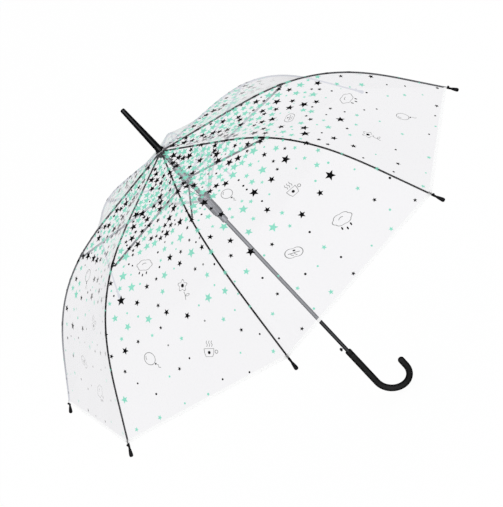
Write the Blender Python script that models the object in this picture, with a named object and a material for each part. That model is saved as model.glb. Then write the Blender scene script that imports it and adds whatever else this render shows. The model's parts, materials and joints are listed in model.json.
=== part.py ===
"""Clear bubble umbrella with an auto-open (jump) frame, standing open and upright.

Frame: metres, +Z up along the shaft towards the ferrule, +X from the shaft towards the
open side of the J hook. The origin is the middle of the ferrule's flat end, the point
that the closed umbrella stands on. Heights in this file are measured from the crown,
where the film passes under the ferrule, and the last step lowers the whole umbrella to
the origin. Eight identical rib sets stand at equal turns about Z.

Each rib set is drawn in its own radial plane: local X points away from the shaft,
local Y is tangential and local Z is up. Every moving piece has its origin on the axis
that it turns about.
"""
import math

import bpy
import bmesh
import numpy as np
from mathutils import Matrix, Vector

MM = 0.001

# ---- driving dimensions (millimetres and degrees) ---------------------------------
RIB_COUNT = 8
RIB_PHASE = 16.0            # turn of the first rib from the hook's plane
RIB_LENGTH = 581.0          # along the rib, pivot to film corner
RIB_RADIUS = 1.6
RIB_ROOT_ANGLE = 10.3       # slope below horizontal at the notch
RIB_RIM_ANGLE = 53.2        # slope below horizontal at the rim
BEND_START = 0.231          # part of the rib's length where the bend starts
BEND_END = 0.868            # and where it ends
FLEX_1 = 276.0              # arc length of the first flex point
FLEX_2 = 436.0              # arc length of the second flex point
FLEX_CONE = 15.0            # slope of the cone-shaped rod ends at a flex point
GAP = 0.3                   # clearance between neighbouring pieces

NOTCH_PIVOT = (8.0, -4.4)   # radius and height of the rib pivots
NOTCH_RADIUS = 10.5
NOTCH_TOP = -1.0
NOTCH_BOTTOM = -12.5
RIB_EYE_RADIUS = 1.9
RIB_FLAT_LENGTH = 10.0      # flattened part of the rib that turns inside the notch
RIB_FLAT_THICKNESS = 2.0

JOINT_ARC = 250.0           # arc length at which the stretcher meets the rib
JOINT_DROP = 4.5            # stretcher pivot below the rib's centreline
UPPER_PIVOT = (8.3, -77.0)  # radius and height of the stretcher pivots
STRETCHER_OFFSET = 2.6      # stretchers lie this far beside the radial plane
STRETCHER_THICKNESS = 1.2
STRETCHER_HEIGHT = 3.2
LINK_STATION = 0.29         # link pivot along the stretcher, as a part of its length
LOWER_PIVOT = (11.5, -129.0)
LINK_OFFSET = 0.9
LINK_THICKNESS = 1.0
LINK_HEIGHT = 2.0
WIRE_RADIUS = 0.5           # ring wires that carry the eyes

SHAFT_RADIUS = 4.0
SHAFT_BORE = 3.3
SHAFT_TOP = 25.0
SHAFT_BOTTOM = -600.0
SLIDE_BORE = 4.3            # bore of everything that sits or slides on the shaft
SPRING_WIRE = 0.5           # wire radius
SPRING_RADIUS = 5.05        # mean radius
SPRING_TURNS = 17
SPRING_SPAN = (-176.0, -72.0)
SPRING_POCKET = 5.9

UPPER_RING = (9.7, -70.5, -83.5)      # radius, top, bottom
UPPER_COLLAR = (7.6, -43.0, -60.0)
UPPER_NECK_RADIUS = 6.9
LOWER_RING = (12.7, -122.5, -135.5)
LOWER_SLEEVE = (9.0, -169.0)
LOWER_NECK = (6.5, -192.5)

FERRULE_LENGTH = 107.0
FERRULE_BASE_RADIUS = 8.4
FERRULE_NECK_RADIUS = 7.1
FERRULE_TIP_RADIUS = 4.6

HANDLE_TOP = -579.0
HANDLE_RADIUS = 7.0
HANDLE_BEND = -677.0        # height where the hook starts
HOOK_RADIUS = 37.0          # centreline radius of the hook
HOOK_REACH = 23.0           # straight end of the hook past the half turn

BUTTON_HEIGHT = -566.5
BUTTON_FACE = 11.3          # distance of the button's face from the shaft's axis
BUTTON_RADIUS = 2.8
BUTTON_STEM_RADIUS = 1.5
LATCH_WINDOW = 15.0         # height of the window in the lower runner's neck

TIP_BALL_RADIUS = 4.3
TIP_CAP_RADIUS = 2.9
TIP_LENGTH = 19.0           # past the film's corner
TIP_MOUTH = 4.0             # from the ball's middle back to the mouth of the bore

FILM_THICKNESS = 0.4
FILM_LIFT = 2.9             # film above the rib's centreline
FILM_CROWN_HOLE = 5.2
FILM_CROWN_FLAT = 11.0      # radius of the flat crown over the notch
FILM_SAG = 9.0              # mid-gore sag towards the shaft


# ---- materials ---------------------------------------------------------------------
def material(name, colour, roughness, metallic=0.0, alpha=1.0):
    """A Principled material; colour is linear RGB."""
    made = bpy.data.materials.new(name)
    made.use_nodes = True
    shader = made.node_tree.nodes["Principled BSDF"]
    shader.inputs["Base Color"].default_value = (*colour, 1.0)
    shader.inputs["Roughness"].default_value = roughness
    shader.inputs["Metallic"].default_value = metallic
    shader.inputs["Alpha"].default_value = alpha
    made.diffuse_color = (*colour, alpha)
    return made


# ---- rib centreline ------------------------------------------------------------------
def smoothstep(value):
    """Ease from 0 to 1 with level ends."""
    value = min(max(value, 0.0), 1.0)
    return value * value * (3.0 - 2.0 * value)


def rib_slope(arc):
    """Slope below horizontal, in radians, at an arc length from the pivot."""
    share = (arc / RIB_LENGTH - BEND_START) / (BEND_END - BEND_START)
    return math.radians(RIB_ROOT_ANGLE + (RIB_RIM_ANGLE - RIB_ROOT_ANGLE) * smoothstep(share))


def build_rib_line(steps=1200):
    """Arc lengths, radii and heights of the rib's centreline, past the tip's end."""
    arcs = np.linspace(0.0, RIB_LENGTH + TIP_LENGTH, steps)
    slopes = np.array([rib_slope(arc) for arc in arcs])
    middle = 0.5 * (slopes[1:] + slopes[:-1])
    step = arcs[1] - arcs[0]
    radii = NOTCH_PIVOT[0] + np.concatenate([[0.0], np.cumsum(np.cos(middle) * step)])
    heights = NOTCH_PIVOT[1] - np.concatenate([[0.0], np.cumsum(np.sin(middle) * step)])
    return arcs, radii, heights


RIB_LINE = build_rib_line()


def rib_point(arc):
    """(x, z) of the rib's centreline at an arc length."""
    arcs, radii, heights = RIB_LINE
    return Vector((float(np.interp(arc, arcs, radii)), float(np.interp(arc, arcs, heights))))


def rib_normal(arc):
    """Unit (x, z) direction off the rib, towards the film."""
    slope = rib_slope(arc)
    return Vector((math.sin(slope), math.cos(slope)))


def stretcher_joint():
    """(x, z) of the pivot where the stretcher meets the rib."""
    return rib_point(JOINT_ARC) - JOINT_DROP * rib_normal(JOINT_ARC)


def link_joint():
    """(x, z) of the pivot where the link meets the stretcher."""
    start = Vector(UPPER_PIVOT)
    return start + LINK_STATION * (stretcher_joint() - start)


# ---- mesh helpers ----------------------------------------------------------------------
def finish(name, mesh_bm, surface, smooth_angle=35.0):
    """Turn a bmesh in millimetres into a named object in metres."""
    bmesh.ops.scale(mesh_bm, vec=(MM, MM, MM), verts=mesh_bm.verts)
    bmesh.ops.recalc_face_normals(mesh_bm, faces=mesh_bm.faces)
    mesh = bpy.data.meshes.new(name)
    mesh_bm.to_mesh(mesh)
    mesh_bm.free()
    mesh.shade_smooth()
    mesh.set_sharp_from_angle(angle=math.radians(smooth_angle))
    mesh.materials.append(surface)
    made = bpy.data.objects.new(name, mesh)
    bpy.context.collection.objects.link(made)
    return made


def skin_rings(rings, closed=False, cap_start=None, cap_end=None):
    """Skin equal rings of points; caps are apex points, True for a flat cap, or None."""
    made = bmesh.new()
    rows = [[made.verts.new(point) for point in ring] for ring in rings]
    count = len(rows[0])
    pairs = list(zip(rows, rows[1:]))
    if closed:
        pairs.append((rows[-1], rows[0]))
    for lower, upper in pairs:
        for i in range(count):
            j = (i + 1) % count
            made.faces.new((lower[i], lower[j], upper[j], upper[i]))
    for row, cap in ((rows[0], cap_start), (rows[-1], cap_end)):
        if cap is True:
            made.faces.new(row)
        elif cap is not None:
            apex = made.verts.new(cap)
            for i in range(count):
                made.faces.new((row[i], row[(i + 1) % count], apex))
    return made


def lathe(profile, segments=24):
    """Turn (radius, height) points about Z; the profile is a closed loop off the axis,
    or it starts and ends on the axis."""
    on_axis = profile[0][0] == 0.0
    inner = profile[1:-1] if on_axis else profile
    rings = []
    for radius, height in inner:
        turns = [2.0 * math.pi * i / segments for i in range(segments)]
        rings.append([(radius * math.cos(t), radius * math.sin(t), height) for t in turns])
    if on_axis:
        return skin_rings(rings, cap_start=(0, 0, profile[0][1]), cap_end=(0, 0, profile[-1][1]))
    return skin_rings(rings, closed=True)


def circle_ring(centre, across, up, radius, sides):
    """Points of a circle about a centre, spanned by two unit vectors."""
    turns = [2.0 * math.pi * i / sides for i in range(sides)]
    return [centre + radius * (math.cos(t) * across + math.sin(t) * up) for t in turns]


def plate(outline, holes, low_y, high_y):
    """A flat plate in the XZ plane with holes, between two Y values."""
    made = bmesh.new()
    for loop in [outline, *holes]:
        verts = [made.verts.new((x, low_y, z)) for x, z in loop]
        for i, vert in enumerate(verts):
            made.edges.new((vert, verts[(i + 1) % len(verts)]))
    filled = bmesh.ops.triangle_fill(made, edges=made.edges[:], use_beauty=True)
    faces = [item for item in filled["geom"] if isinstance(item, bmesh.types.BMFace)]
    moved = bmesh.ops.extrude_face_region(made, geom=faces)
    verts = [item for item in moved["geom"] if isinstance(item, bmesh.types.BMVert)]
    bmesh.ops.translate(made, verts=verts, vec=(0.0, high_y - low_y, 0.0))
    return made


def arc_points(centre, radius, start, end, steps):
    """(x, z) points of an arc, angles in degrees from +X towards +Z."""
    turns = [math.radians(start + (end - start) * i / steps) for i in range(steps + 1)]
    return [(centre[0] + radius * math.cos(t), centre[1] + radius * math.sin(t)) for t in turns]


def hole(centre, radius, sides=8):
    """(x, z) points of a round hole."""
    return arc_points(centre, radius, 0.0, 360.0 * (sides - 1) / sides, sides - 1)


def bar_outline(length, end_radius, half_height, steps=4):
    """Outline of a bar along +X from (0, 0) with a round eye at each end."""
    spread = math.degrees(math.asin(half_height / end_radius))
    start = arc_points((0.0, 0.0), end_radius, spread, 360.0 - spread, 2 * steps)
    end = arc_points((length, 0.0), end_radius, spread - 180.0, 180.0 - spread, 2 * steps)
    return start + end


def box(low, high):
    """A box between two corners."""
    made = bmesh.new()
    bmesh.ops.create_cube(made, size=1.0)
    size = Vector(high) - Vector(low)
    bmesh.ops.scale(made, vec=size, verts=made.verts)
    bmesh.ops.translate(made, vec=(Vector(high) + Vector(low)) / 2.0, verts=made.verts)
    return made


def boolean(target, tool_bm, operation):
    """Apply an exact boolean between an object and a bmesh in millimetres."""
    tool = finish("tool", tool_bm, target.data.materials[0])
    modifier = target.modifiers.new("boolean", "BOOLEAN")
    modifier.operation = operation
    modifier.solver = "EXACT"
    modifier.object = tool
    graph = bpy.context.evaluated_depsgraph_get()
    result = bpy.data.meshes.new_from_object(target.evaluated_get(graph))
    target.modifiers.clear()
    old = target.data
    name = old.name
    target.data = result
    bpy.data.meshes.remove(old)
    result.name = name
    bpy.data.objects.remove(tool)


def turned(mesh_bm, angle):
    """Turn a bmesh about Z."""
    bmesh.ops.rotate(mesh_bm, verts=mesh_bm.verts, cent=(0, 0, 0), matrix=Matrix.Rotation(angle, 3, "Z"))
    return mesh_bm


def rib_turns():
    """Turn about Z of each rib set, in radians."""
    step = 2.0 * math.pi / RIB_COUNT
    return [math.radians(RIB_PHASE) + i * step for i in range(RIB_COUNT)]


def place_set(first, pivot):
    """Put a rib-set piece at its pivot (x, z) and copy it to all the rib sets."""
    stem = first.name
    for number, turn in enumerate(rib_turns(), start=1):
        copy = first if number == 1 else first.copy()
        if number > 1:
            bpy.context.collection.objects.link(copy)
        copy.name = f"{stem}_{number}"
        place = Matrix.Rotation(turn, 3, "Z") @ Vector((pivot[0], 0.0, pivot[1])) * MM
        copy.location = place
        copy.rotation_euler = (0.0, 0.0, turn)


# ---- ribs ------------------------------------------------------------------------------
def rod_rings(start, end, steps, origin, sides=8):
    """Rings along the rib between two arc lengths, relative to an origin (x, z)."""
    rings = []
    for i in range(steps + 1):
        arc = start + (end - start) * i / steps
        x, z = rib_point(arc) - origin
        nx, nz = rib_normal(arc)
        rings.append(circle_ring(Vector((x, 0, z)), Vector((0, 1, 0)), Vector((nx, 0, nz)), RIB_RADIUS, sides))
    return rings


def rib_apex(arc, origin):
    """3-D point on the rib's centreline relative to an origin (x, z)."""
    x, z = rib_point(arc) - origin
    return (x, 0.0, z)


def build_rib_inner(surface):
    """Notch to the first flex point, with a flat eye and the stretcher's bracket."""
    origin = Vector(NOTCH_PIVOT)
    cone = RIB_RADIUS * math.tan(math.radians(FLEX_CONE))
    end = FLEX_1 - GAP / 2.0
    rings = rod_rings(RIB_FLAT_LENGTH - 1.0, end - cone, 8, origin)
    rib = finish("rib_inner", skin_rings(rings, cap_start=True, cap_end=rib_apex(end, origin)), surface)
    half = RIB_FLAT_THICKNESS / 2.0
    eye = plate(bar_outline(RIB_FLAT_LENGTH, RIB_EYE_RADIUS, 1.4), [hole((0, 0), WIRE_RADIUS + GAP)], -half, half)
    tilt = Matrix.Rotation(math.radians(RIB_ROOT_ANGLE), 3, "Y")
    bmesh.ops.rotate(eye, verts=eye.verts, cent=(0, 0, 0), matrix=tilt)
    boolean(rib, eye, "UNION")
    bracket = plate(bar_outline(JOINT_DROP, 1.7, 1.5), [], -0.8, 0.8)
    slope = rib_slope(JOINT_ARC)
    aim = Matrix.Rotation(slope + math.pi / 2.0, 3, "Y")
    bmesh.ops.rotate(bracket, verts=bracket.verts, cent=(0, 0, 0), matrix=aim)
    x, z = rib_point(JOINT_ARC) - origin
    bmesh.ops.translate(bracket, verts=bracket.verts, vec=(x, 0.0, z))
    boolean(rib, bracket, "UNION")
    pin_x, pin_z = stretcher_joint() - origin
    pin_end = STRETCHER_OFFSET - STRETCHER_THICKNESS / 2.0 - GAP
    pin = [circle_ring(Vector((pin_x, y, pin_z)), Vector((1, 0, 0)), Vector((0, 0, 1)), 0.8, 10) for y in (0.0, pin_end)]
    boolean(rib, skin_rings(pin, cap_start=True, cap_end=True), "UNION")
    place_set(rib, NOTCH_PIVOT)


def build_rib_outer(surface):
    """The two outer rib lengths, each starting at its flex point."""
    cone = RIB_RADIUS * math.tan(math.radians(FLEX_CONE))
    for name, start, end in (("rib_mid", FLEX_1, FLEX_2), ("rib_end", FLEX_2, RIB_LENGTH + 8.0)):
        origin = rib_point(start)
        first = start + GAP / 2.0
        last = end - GAP / 2.0
        rings = rod_rings(first + cone, last - cone, 5, origin)
        made = skin_rings(rings, cap_start=rib_apex(first, origin), cap_end=rib_apex(last, origin))
        place_set(finish(name, made, surface), origin)


def build_tips(surface):
    """Plastic tips: a ball at the film's corner and a long rounded cap."""
    bore = RIB_RADIUS + GAP
    profile = [
        (0.0, 8.5), (bore, 8.5), (bore, -TIP_MOUTH), (TIP_CAP_RADIUS, -TIP_MOUTH),
        (3.8, -2.1), (TIP_BALL_RADIUS, 0.0), (3.8, 2.1), (TIP_CAP_RADIUS, 3.6),
        (TIP_CAP_RADIUS, TIP_LENGTH - 2.0), (1.9, TIP_LENGTH - 0.4), (0.0, TIP_LENGTH),
    ]
    tip = lathe(profile, segments=10)
    slope = rib_slope(RIB_LENGTH)
    aim = Matrix.Rotation(slope + math.pi / 2.0, 3, "Y")
    bmesh.ops.rotate(tip, verts=tip.verts, cent=(0, 0, 0), matrix=aim)
    offset = rib_point(RIB_LENGTH) - rib_point(FLEX_2)
    bmesh.ops.translate(tip, verts=tip.verts, vec=(offset[0], 0.0, offset[1]))
    place_set(finish("rib_tip", tip, surface), rib_point(FLEX_2))


# ---- stretchers and links ------------------------------------------------------------
def aimed_bar(name, start, end, eye_radius, half_height, holes, offset, thickness, surface):
    """A flat bar with eyes from one pivot (x, z) to another."""
    length = (end - start).length
    drilled = [hole((distance, 0.0), radius) for distance, radius in holes]
    low = offset - thickness / 2.0
    bar = plate(bar_outline(length, eye_radius, half_height), drilled, low, low + thickness)
    rise = math.atan2(end[1] - start[1], end[0] - start[0])
    bmesh.ops.rotate(bar, verts=bar.verts, cent=(0, 0, 0), matrix=Matrix.Rotation(-rise, 3, "Y"))
    place_set(finish(name, bar, surface), start)


def build_stretchers(surface):
    """Upper runner to rib; the outer pivot is open and stands beside the rib's pin."""
    start = Vector(UPPER_PIVOT)
    end = stretcher_joint()
    length = (end - start).length
    holes = [(0.0, WIRE_RADIUS + GAP), (LINK_STATION * length, 0.7), (length, 0.9)]
    aimed_bar("stretcher", start, end, STRETCHER_HEIGHT / 2.0 + 0.05, STRETCHER_HEIGHT / 2.0,
              holes, STRETCHER_OFFSET, STRETCHER_THICKNESS, surface)


def build_links(surface):
    """Lower runner to stretcher; the outer pivot is open and stands beside the stretcher."""
    start = Vector(LOWER_PIVOT)
    end = link_joint()
    length = (end - start).length
    holes = [(0.0, WIRE_RADIUS + GAP), (length, 0.7)]
    aimed_bar("link", start, end, 1.5, LINK_HEIGHT / 2.0, holes, LINK_OFFSET, LINK_THICKNESS, surface)


# ---- runners and notch ----------------------------------------------------------------
def ring_wire(name, radius, height, surface, corners=0):
    """A closed hinge wire; with corners it is a polygon whose sides cross the slots."""
    rings = []
    if corners:
        turns = [t + math.pi / corners for t in rib_turns()]
        reach = radius / math.cos(math.pi / corners)
    else:
        turns = [2.0 * math.pi * i / 24 for i in range(24)]
        reach = radius
    for turn in turns:
        out = Vector((math.cos(turn), math.sin(turn), 0.0))
        rings.append(circle_ring(out * reach, out, Vector((0, 0, 1)), WIRE_RADIUS, 5))
    wire = finish(name, skin_rings(rings, closed=True), surface)
    wire.location = (0.0, 0.0, height * MM)


def cut_slots(target, floor_x, low_y, high_y, low_z, high_z, reach=20.0):
    """Cut one slot for each rib set, from a floor distance outwards."""
    for turn in rib_turns():
        boolean(target, turned(box((floor_x, low_y, low_z), (reach, high_y, high_z)), turn), "DIFFERENCE")


def build_notch(plastic, wire):
    """Top notch: holds the eight ribs on one ring wire."""
    pivot_x, pivot_z = NOTCH_PIVOT
    groove = WIRE_RADIUS + GAP
    profile = [
        (SLIDE_BORE, NOTCH_TOP), (SLIDE_BORE, NOTCH_BOTTOM), (9.0, NOTCH_BOTTOM),
        (NOTCH_RADIUS, NOTCH_BOTTOM + 1.5), (NOTCH_RADIUS, pivot_z - groove),
        (pivot_x - groove, pivot_z - groove), (pivot_x - groove, pivot_z + groove),
        (NOTCH_RADIUS, pivot_z + groove), (NOTCH_RADIUS, NOTCH_TOP - 0.6), (9.9, NOTCH_TOP),
    ]
    notch = finish("notch", lathe(profile), plastic)
    half = RIB_FLAT_THICKNESS / 2.0 + GAP
    cut_slots(notch, pivot_x - RIB_EYE_RADIUS - GAP, -half, half, NOTCH_BOTTOM - 1.0, pivot_z + 2.2)
    ring_wire("notch_wire", pivot_x, pivot_z, wire)


def build_upper_runner(plastic, wire):
    """Upper runner: collar, neck and slotted ring with the spring's upper pocket."""
    radius, top, bottom = UPPER_RING
    collar_radius, collar_top, collar_bottom = UPPER_COLLAR
    pivot_x, pivot_z = UPPER_PIVOT
    groove = WIRE_RADIUS + GAP
    profile = [
        (SLIDE_BORE, collar_top), (SLIDE_BORE, top - 1.0), (SPRING_POCKET, top - 1.0),
        (SPRING_POCKET, bottom), (radius - 0.8, bottom), (radius, bottom + 0.8),
        (radius, pivot_z - groove), (pivot_x - groove, pivot_z - groove),
        (pivot_x - groove, pivot_z + groove), (radius, pivot_z + groove), (radius, top - 0.8),
        (radius - 0.8, top), (UPPER_NECK_RADIUS, top), (UPPER_NECK_RADIUS, collar_bottom),
        (collar_radius, collar_bottom), (collar_radius, collar_top - 0.8), (collar_radius - 0.8, collar_top),
    ]
    runner = finish("upper_runner", lathe(profile), plastic)
    half = STRETCHER_THICKNESS / 2.0 + GAP
    floor = pivot_x - STRETCHER_HEIGHT / 2.0 - GAP
    low, high = STRETCHER_OFFSET - half, STRETCHER_OFFSET + half
    cut_slots(runner, floor, low, high, bottom - 1.0, collar_top + 1.0)
    ring_wire("upper_runner_wire", pivot_x, pivot_z, wire, corners=RIB_COUNT)


def build_lower_runner(plastic, wire):
    """Lower runner: slotted ring, grip sleeve and a neck with the latch window."""
    radius, top, bottom = LOWER_RING
    sleeve_radius, sleeve_bottom = LOWER_SLEEVE
    neck_radius, neck_bottom = LOWER_NECK
    pivot_x, pivot_z = LOWER_PIVOT
    groove = WIRE_RADIUS + GAP
    seat = SPRING_SPAN[0] - GAP
    profile = [
        (SPRING_POCKET, top), (SPRING_POCKET, seat), (SLIDE_BORE, seat), (SLIDE_BORE, neck_bottom),
        (neck_radius - 0.6, neck_bottom), (neck_radius, neck_bottom + 0.6), (neck_radius, seat - 1.0),
        (sleeve_radius, sleeve_bottom - 1.5), (sleeve_radius, bottom), (radius - 0.8, bottom),
        (radius, bottom + 0.8), (radius, pivot_z - groove), (pivot_x - groove, pivot_z - groove),
        (pivot_x - groove, pivot_z + groove), (radius, pivot_z + groove), (radius, top - 0.8),
        (radius - 0.8, top),
    ]
    runner = finish("lower_runner", lathe(profile), plastic)
    half = LINK_THICKNESS / 2.0 + GAP
    floor = pivot_x - 1.5 - 2.0 * GAP
    cut_slots(runner, floor, LINK_OFFSET - half, LINK_OFFSET + half, bottom - 1.0, top + 1.0)
    reach = BUTTON_RADIUS + GAP + 0.2
    window = box((-neck_radius - 1.0, -reach, neck_bottom - 1.0), (0.0, reach, neck_bottom + LATCH_WINDOW))
    boolean(runner, window, "DIFFERENCE")
    ring_wire("lower_runner_wire", pivot_x, pivot_z, wire)


def build_spring(surface):
    """Coil spring about the shaft; it drives the two runners apart."""
    low, high = SPRING_SPAN
    steps = SPRING_TURNS * 9
    rings = []
    for i in range(steps + 1):
        share = i / steps
        turn = 2.0 * math.pi * SPRING_TURNS * share
        height = low + SPRING_WIRE + (high - low - 2.0 * SPRING_WIRE) * share
        out = Vector((math.cos(turn), math.sin(turn), 0.0))
        rings.append(circle_ring(out * SPRING_RADIUS + Vector((0, 0, height)), out, Vector((0, 0, 1)), SPRING_WIRE, 4))
    finish("drive_spring", skin_rings(rings, cap_start=True, cap_end=True), surface)


# ---- shaft, ferrule, handle, button ----------------------------------------------------
def build_shaft(surface):
    """Steel tube with a hole for the button's stem."""
    profile = [
        (SHAFT_BORE, SHAFT_BOTTOM), (SHAFT_RADIUS, SHAFT_BOTTOM), (SHAFT_RADIUS, SHAFT_TOP), (SHAFT_BORE, SHAFT_TOP),
    ]
    shaft = finish("shaft", lathe(profile, segments=16), surface)
    rings = []
    for x in (-SHAFT_RADIUS - 2.0, 0.0):
        centre = Vector((x, 0.0, BUTTON_HEIGHT))
        rings.append(circle_ring(centre, Vector((0, 1, 0)), Vector((0, 0, 1)), BUTTON_STEM_RADIUS + GAP, 12))
    boolean(shaft, skin_rings(rings, cap_start=True, cap_end=True), "DIFFERENCE")


def build_ferrule(surface):
    """Tapered spike over the shaft's top, with a flared foot that clamps the film."""
    socket = SHAFT_TOP + 1.0
    tip = FERRULE_LENGTH
    profile = [
        (0.0, socket), (SLIDE_BORE, socket), (SLIDE_BORE, 0.0), (FERRULE_BASE_RADIUS - 0.5, 0.0),
        (FERRULE_BASE_RADIUS, 0.6), (FERRULE_BASE_RADIUS, 2.6), (FERRULE_NECK_RADIUS, 4.4),
        (FERRULE_TIP_RADIUS, tip - 1.0), (FERRULE_TIP_RADIUS - 0.8, tip), (0.0, tip),
    ]
    finish("ferrule", lathe(profile, segments=20), surface)


def build_handle(surface):
    """J handle: a straight grip, a half turn and a short straight end."""
    sides = 12
    socket = 24.0
    across = Vector((0, 1, 0))
    stations = [(Vector((0, 0, HANDLE_TOP)), Vector((1, 0, 0)), HANDLE_RADIUS - 1.2)]
    for height in (HANDLE_TOP - 1.0, HANDLE_TOP - 40.0, HANDLE_BEND):
        stations.append((Vector((0, 0, height)), Vector((1, 0, 0)), HANDLE_RADIUS))
    for i in range(1, 15):
        turn = math.pi * i / 14
        inward = Vector((math.cos(turn), 0, math.sin(turn)))
        centre = Vector((HOOK_RADIUS, 0, HANDLE_BEND)) - HOOK_RADIUS * inward
        stations.append((centre, inward, HANDLE_RADIUS))
    end_x = 2.0 * HOOK_RADIUS
    for rise, radius in ((HOOK_REACH - 4.5, 7.0), (HOOK_REACH - 1.5, 5.6), (HOOK_REACH, 2.6)):
        stations.append((Vector((end_x, 0, HANDLE_BEND + rise)), Vector((-1, 0, 0)), radius))
    rings = [circle_ring(centre, inward, across, radius, sides) for centre, inward, radius in stations]
    handle = finish("handle", skin_rings(rings, cap_start=True, cap_end=True), surface, smooth_angle=50.0)
    bore = [(0.0, HANDLE_TOP + 1.0), (SLIDE_BORE, HANDLE_TOP + 1.0), (SLIDE_BORE, HANDLE_TOP - socket), (0.0, HANDLE_TOP - socket)]
    boolean(handle, lathe(bore, segments=24), "DIFFERENCE")


def build_button(surface):
    """Push button on a stem that reaches into the shaft; it releases the lower runner."""
    face = BUTTON_FACE
    back = 8.3
    profile = [
        (0.0, 2.5), (BUTTON_STEM_RADIUS, 2.5), (BUTTON_STEM_RADIUS, back), (BUTTON_RADIUS, back),
        (BUTTON_RADIUS, face - 0.8), (BUTTON_RADIUS - 0.8, face), (0.0, face),
    ]
    button = lathe(profile, segments=12)
    bmesh.ops.rotate(button, verts=button.verts, cent=(0, 0, 0), matrix=Matrix.Rotation(-math.pi / 2.0, 3, "Y"))
    made = finish("release_button", button, surface)
    made.location = (0.0, 0.0, BUTTON_HEIGHT * MM)


# ---- canopy -------------------------------------------------------------------------------
def film_point(turn_share, arc_share):
    """Film point in a gore from rib to rib (turn_share 0 to 1), crown to hem (arc_share)."""
    bow = 4.0 * turn_share * (1.0 - turn_share)
    hem = RIB_LENGTH - TIP_MOUTH - 1.0
    start = 3.0
    arc = start + (hem - start) * arc_share
    lifted = rib_point(arc) + FILM_LIFT * rib_normal(arc)
    crown_lift = (-0.5 - (rib_point(start) + FILM_LIFT * rib_normal(start))[1])
    height = lifted[1] + crown_lift * (1.0 - smoothstep((arc - start) / 50.0))
    sag = FILM_SAG * bow * math.sin(math.pi * min(arc_share, 1.0) ** 0.9) ** 0.7
    half = math.pi / RIB_COUNT
    chord = Vector((lifted[0], 0.0)).lerp(
        Vector((lifted[0] * math.cos(2 * half), lifted[0] * math.sin(2 * half))), turn_share)
    middle = Vector((math.cos(half), math.sin(half)))
    slope = rib_slope(arc)
    chord -= sag * math.sin(slope) * middle
    return Vector((chord[0], chord[1], height - sag * math.cos(slope)))


def build_canopy(surface):
    """Eight clear gores welded into one dome, with a straight hem between the tips."""
    columns = 4
    rows = 15
    made = bmesh.new()
    grid = []
    for row in range(rows + 1):
        line = []
        for turn in rib_turns():
            spin = Matrix.Rotation(turn, 3, "Z")
            for column in range(columns):
                line.append(made.verts.new(spin @ film_point(column / columns, (row / rows) ** 1.1)))
        grid.append(line)
    count = len(grid[0])
    crown = []
    for radius in (FILM_CROWN_HOLE, FILM_CROWN_FLAT - 1.5):
        turns = [rib_turns()[0] + 2.0 * math.pi * i / count for i in range(count)]
        crown.append([made.verts.new((radius * math.cos(t), radius * math.sin(t), -0.5)) for t in turns])
    for upper, lower in zip(crown + grid, crown[1:] + grid):
        for i in range(count):
            j = (i + 1) % count
            made.faces.new((upper[i], lower[i], lower[j], upper[j]))
    canopy = finish("canopy", made, surface)
    shell = canopy.modifiers.new("film", "SOLIDIFY")
    shell.thickness = FILM_THICKNESS * MM
    shell.offset = 0.0


# ---- assembly --------------------------------------------------------------------------------
def build_umbrella():
    """Clear the scene, build every piece and lower the umbrella to its origin."""
    for item in list(bpy.data.objects):
        bpy.data.objects.remove(item)
    film = material("clear_film", (0.88, 0.91, 0.92), 0.12, alpha=0.25)
    black_steel = material("black_steel", (0.012, 0.012, 0.013), 0.35, metallic=0.6)
    black_rib = material("black_fibreglass", (0.015, 0.015, 0.016), 0.40)
    black_plastic = material("black_plastic", (0.014, 0.014, 0.015), 0.45)
    bright_wire = material("bright_wire", (0.62, 0.62, 0.64), 0.25, metallic=1.0)
    build_shaft(black_steel)
    build_ferrule(black_plastic)
    build_notch(black_plastic, bright_wire)
    build_upper_runner(black_plastic, bright_wire)
    build_lower_runner(black_plastic, bright_wire)
    build_spring(bright_wire)
    build_handle(black_plastic)
    build_button(black_plastic)
    build_rib_inner(black_rib)
    build_rib_outer(black_rib)
    build_tips(black_plastic)
    build_stretchers(black_steel)
    build_links(black_steel)
    build_canopy(film)
    for item in bpy.data.objects:
        item.location.z -= FERRULE_LENGTH * MM


build_umbrella()
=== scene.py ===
"""Looks of the clear bubble umbrella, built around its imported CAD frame.

Shapes are worked out in millimetres from the crown, where the film passes under the
ferrule, and moved to the frame's own origin when a mesh is made. Each rib set has its own
plane: x points away from the shaft, y is tangential and z is up. The film is eight gores
that meet along the ribs. A gore is cut into three lengths, one for each length of its
rib, so that it can follow the rib as the umbrella closes; at rest the lengths meet in one
smooth sheet, with the print laid into the same mesh.
"""

import json
import random
from math import atan2, cos, dist, hypot, pi, radians, sin

import bpy
import numpy as np
from mathutils import Matrix, Vector
from mathutils.geometry import delaunay_2d_cdt


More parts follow.
